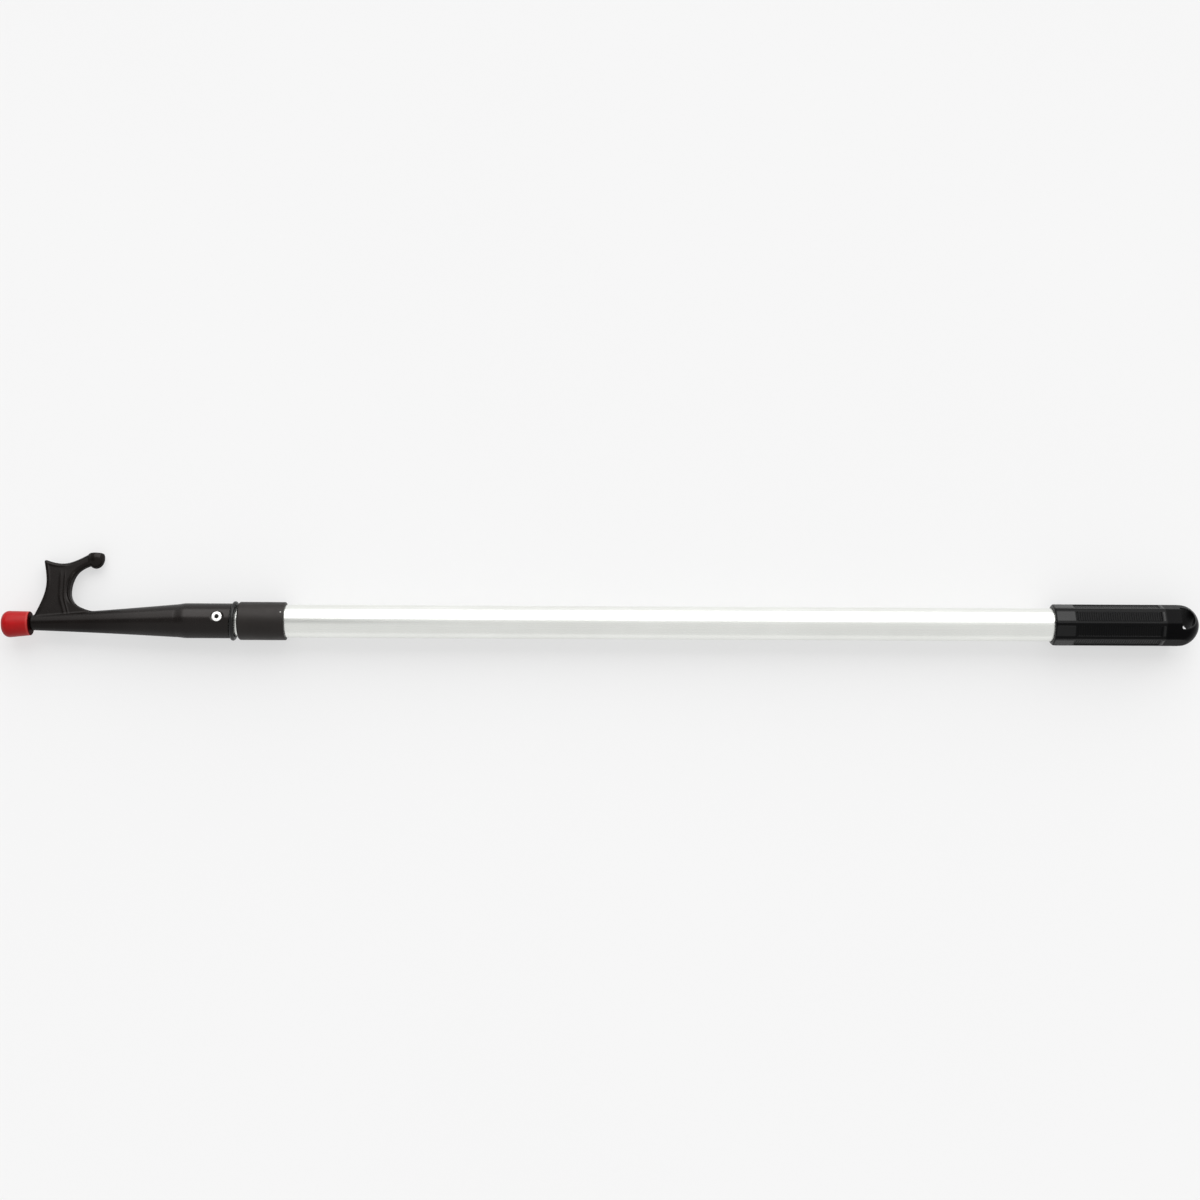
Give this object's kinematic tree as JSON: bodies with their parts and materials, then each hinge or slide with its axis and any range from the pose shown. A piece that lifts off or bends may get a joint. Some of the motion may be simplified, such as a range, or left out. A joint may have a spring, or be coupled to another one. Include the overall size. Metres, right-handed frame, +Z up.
{
  "type": "telescoping boat hook",
  "caption": "Two-stage telescoping aluminium boat hook with a riveted plastic hook head, red tip cap, twist lock, collar and eight-sided hand grip with a hanging hole.",
  "frame": {"origin": "middle of the foot of the object as it lies on its side, retracted", "axes": "+X from the hook head to the hand grip along the pole, +Y the side that the hook reaches to, +Z up"},
  "size_m": [1.033, 0.0766, 0.0356],
  "materials": {
    "black_nylon": "satin glass-filled nylon",
    "collar_plastic": "matte moulded plastic",
    "grip_plastic": "semi-gloss moulded plastic",
    "red_vinyl": "soft vinyl, satin",
    "black_rubber": "matte rubber",
    "anodised_aluminium": "satin clear anodised",
    "white_rivet": "white painted",
    "mandrel_steel": "dark broken steel",
    "zinc_steel": "zinc plated",
    "float_foam": "closed-cell foam",
    "natural_nylon": "natural moulded nylon",
    "grey_plastic": "grey moulded plastic"
  },
  "bodies": {
    "outer_pole": {"outer_tube": "anodised_aluminium", "front_collar": "collar_plastic", "collar_pin": "zinc_steel", "rear_tube_plug": "grey_plastic", "hand_grip": "grip_plastic"},
    "guide": {"guide_ring": "natural_nylon"},
    "inner_pole": {"inner_tube": "anodised_aluminium", "hook_head": "black_nylon", "tip_cap": "red_vinyl", "head_rivet_near": "white_rivet", "head_rivet_far": "white_rivet", "rivet_mandrel_near": "mandrel_steel", "rivet_mandrel_far": "mandrel_steel", "bumper_ring": "black_rubber", "front_float_plug": "float_foam", "lock_plug": "natural_nylon", "plug_seal": "black_rubber", "plug_pin": "zinc_steel", "cam_washer": "zinc_steel", "cam_screw": "zinc_steel"},
    "cam": {"lock_cam": "grey_plastic"}
  },
  "joints": [
    {"name": "telescope", "type": "slide", "parent": "outer_pole", "child": "guide", "axis": [-1, 0, 0], "range_m": [-0.0008, 0.65]},
    {"name": "twist", "type": "hinge", "parent": "guide", "child": "inner_pole", "pos_m": [0.44552, -0.02052, 0.01779], "axis": [1, 0, 0], "range_deg": [0, 90]},
    {"name": "cam_turn", "type": "hinge", "parent": "inner_pole", "child": "cam", "pos_m": [0.45922, -0.02052, 0.01879], "axis": [1, 0, 0], "range_deg": [-90, 0]}
  ],
  "couplings": [
    {"joint": "cam_turn", "follows": "twist", "ratio": -1}
  ]
}
